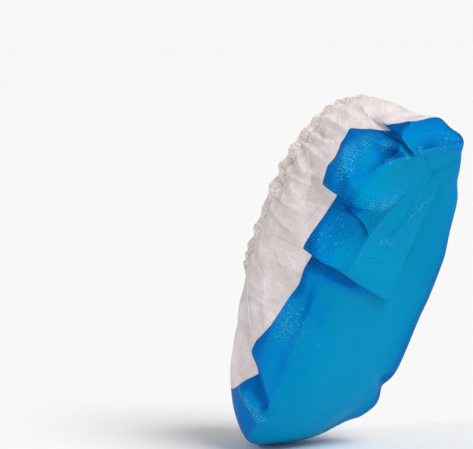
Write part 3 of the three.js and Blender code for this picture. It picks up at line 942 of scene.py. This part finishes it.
def nonwovenMaterial(name, light, dark, isHem):
    material, add = newMaterial(name)
    s = nonwovenSettings
    solid = add("TexCoord").outputs["Object"]
    place = add("UVMap", {"uv_map": "surface"})
    crumple, toSeam = [
        add("Attribute", {"attribute_name": mark}).outputs["Fac"] for mark in ("crumple", "toSeam")]

    # papery creases lie where two drawn-out noises and a round one, crumples, cross one half
    crumples, warm, fibres = [add("TexNoise", seeded, {
        "Vector": solid, "W": seed, "Scale": 1000 / size, "Detail": 3.0, "Distortion": distortion})
        for seed, size, distortion in s["noises"]]
    noises = []
    for turn, width, seed in s["wrinkles"]:
        drawn = add("Mapping", {}, {
            "Vector": place, "Rotation": (0, 0, turn),
            "Scale": (1000 / width, 1000 / s["wrinkleLength"], 1)})
        noises.append(add("TexNoise", seeded, {
            "Vector": drawn, "W": seed, "Scale": 1.0, "Detail": 2.5, "Distortion": 0.6}))
    first, second, rounded = [
        add("Math", absolute, [add("Math", minus, [noise, 0.5])]) for noise in (*noises, crumples)]
    broad = add("MapRange", eased, [add("Math", timesPlus, [rounded, 0.6, first]), 0.0, 0.2])

    # clouds, and broad folds with their painted shade, pick between dark and light, with cream, bond
    # points and seam on top
    clouds = add("TexNoise", {}, {
        "Vector": solid, "Scale": 1000 / s["cloudSize"], "Detail": 4.0, "Roughness": 0.6})
    folds = add("Math", times, [broad, add("Math", times, [crumple, 0.25])])
    mixed = add("MapRange", eased, [add("Math", plus, [clouds, folds]), 0.35, 0.85])
    creamy = add("MapRange", {}, [add("Math", times, [warm, crumple]), 0.3, 0.7, 0.0, s["creamShare"]])
    bonds = lattice(add, s["bondPitch"])
    points = add("MapRange", eased, [bonds, 0.1, 0.9, 0.0, s["bondContrast"]])
    seal = add("MapRange", eased, [toSeam, 0.16, 0.03, 0.0, s["sealShare"]])
    layers = [(mixed, light), (creamy, s["cream"]), (points, dark), (seal, s["seam"])]
    # painted shade and painted light of the creases
    shade, crests = creases(add, [] if isHem else fabricCreases, 0.15)
    kept = add("Math", timesPlus, [shade, -s["creaseDark"], 1.0])

    # heights: creases, ribs and stitches of the hem, bond points, loose fibres
    creased = add("Math", times, [add("Math", timesPlus, [second, 0.7, first]), crumple])
    creased = add("Math", timesPlus, [creased, -s["wrinkleHeight"], crests])
    reliefs = [(creased, 1), (add("Math", times, [rounded, crumple]), -s["crumpleHeight"])]
    if isHem:
        spot = add("SeparateXYZ", {}, [place])
        drift = add("Math", times, [crumples, s["ribWander"]])
        phase = add("Math", timesPlus, [spot.outputs[0], 2 * math.pi * 1000 / s["ribPitch"], drift])
        ribs = add("Math", sine, [phase])
        off = add("Math", absolute, [add("Math", minus, [spot.outputs[1], s["stitchDown"] / 1000])])
        phase = add("Math", times, [spot.outputs[0], 2 * math.pi * 1000 / s["stitchLength"]])
        line = add("MapRange", eased, [off, *(width / 1000 for width in s["stitchWidth"])])
        dash = add("MapRange", eased, [add("Math", sine, [phase]), -0.6, 0.0])
        stitch = add("Math", times, [line, dash])
        layers += [(line, dark), (stitch, s["seam"])]
        reliefs += [(ribs, s["ribHeight"]), (stitch, s["stitchHeight"])]
    reliefs += [(bonds, -s["bondHeight"]), (fibres, s["fibreHeight"])]
    endMaterial(add, s, colour(dark), layers, kept, reliefs, clouds)
    return material


film = filmMaterial()
nonwoven = nonwovenMaterial(
    "spunBondPolypropylene", nonwovenSettings["tint"], nonwovenSettings["shade"], False)
hem = nonwovenMaterial(
    "sewnDoublePolypropylene", nonwovenSettings["hem"], nonwovenSettings["hemShade"], True)
for piece, face, lining in (
        (soleFilm, film, nonwoven), (upperFabric, nonwoven, nonwoven), (elasticHem, hem, hem)):
    piece.data.materials.append(face)
    piece.data.materials.append(lining)
print("materials made")

# A pale studio floor, a soft grey sky, two lamps and the camera, in metres and degrees
studio = {
    "floor": "#f7f7f7",
    "floorReach": 60,
    "floorGap": 0.0005,
    "sky": 0.36,
    "horizon": 0.93,
    "keyLamp": (95, 50, 30, 2.3),  # azimuth, elevation, spread, power
    "sparkleLamp": (-10, 28, 7, 0.5),
    "aim": (0.0276, 0, -0.0616),
    "azimuth": 50,
    "elevation": 6,
    "distance": 1.7,
    "lens": 169.5,  # millimetres
    "panLeft": 2.44,  # the cover stands right of the middle, and low
    "panUp": 1.245,
}
low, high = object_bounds()
reach = studio["floorReach"]
corners = [(-reach, -reach), (reach, -reach), (reach, reach), (-reach, reach)]
mesh = bpy.data.meshes.new("floor")
mesh.from_pydata([(x, y, low[2] - studio["floorGap"]) for x, y in corners], [], [(0, 1, 2, 3)])
floor = addObject("floor", mesh)
material, add = newMaterial("paperSweep")
shader = add("BsdfPrincipled", {}, {"Base Color": colour(studio["floor"]), "Roughness": 0.9})
add("OutputMaterial", {}, {"Surface": shader})
mesh.materials.append(material)

bpy.context.scene.view_settings.view_transform = "Standard"
world = bpy.data.worlds.new("softSky")
bpy.context.scene.world = world
world.use_nodes = True
sky = world.node_tree.nodes["Background"]
direction = addNode(world.node_tree, "TexCoord").outputs["Generated"]
height = addNode(world.node_tree, "SeparateXYZ", {}, [direction]).outputs["Z"]
fade = addNode(world.node_tree, "MapRange", {}, [height, 0.05, 0.4, studio["horizon"], studio["sky"]])
sky.inputs["Color"].default_value = (1, 1, 1, 1)
world.node_tree.links.new(fade.outputs[0], sky.inputs["Strength"])

# Each lamp is far away at azimuth and elevation round the cover, spread wide by its angle.
for name in ("keyLamp", "sparkleLamp"):
    azimuth, elevation, spread, power = studio[name]
    light = bpy.data.lights.new(name, "SUN")
    light.energy, light.angle = power, math.radians(spread)
    addObject(name, light).rotation_euler = (math.radians(90 - elevation), 0, math.radians(azimuth))

cameraData = bpy.data.cameras.new("camera")
cameraData.lens = studio["lens"]
camera = addObject("camera", cameraData)
bpy.context.scene.camera = camera
azimuth, elevation = math.radians(studio["azimuth"]), math.radians(studio["elevation"])
level = math.cos(elevation)
back = np.array([math.sin(azimuth) * level, -math.cos(azimuth) * level, math.sin(elevation)])
camera.location = np.array(studio["aim"]) + back * studio["distance"]
camera.rotation_euler = (
    math.pi / 2 - elevation + math.radians(studio["panUp"]), 0, azimuth + math.radians(studio["panLeft"]))

print("scene made")
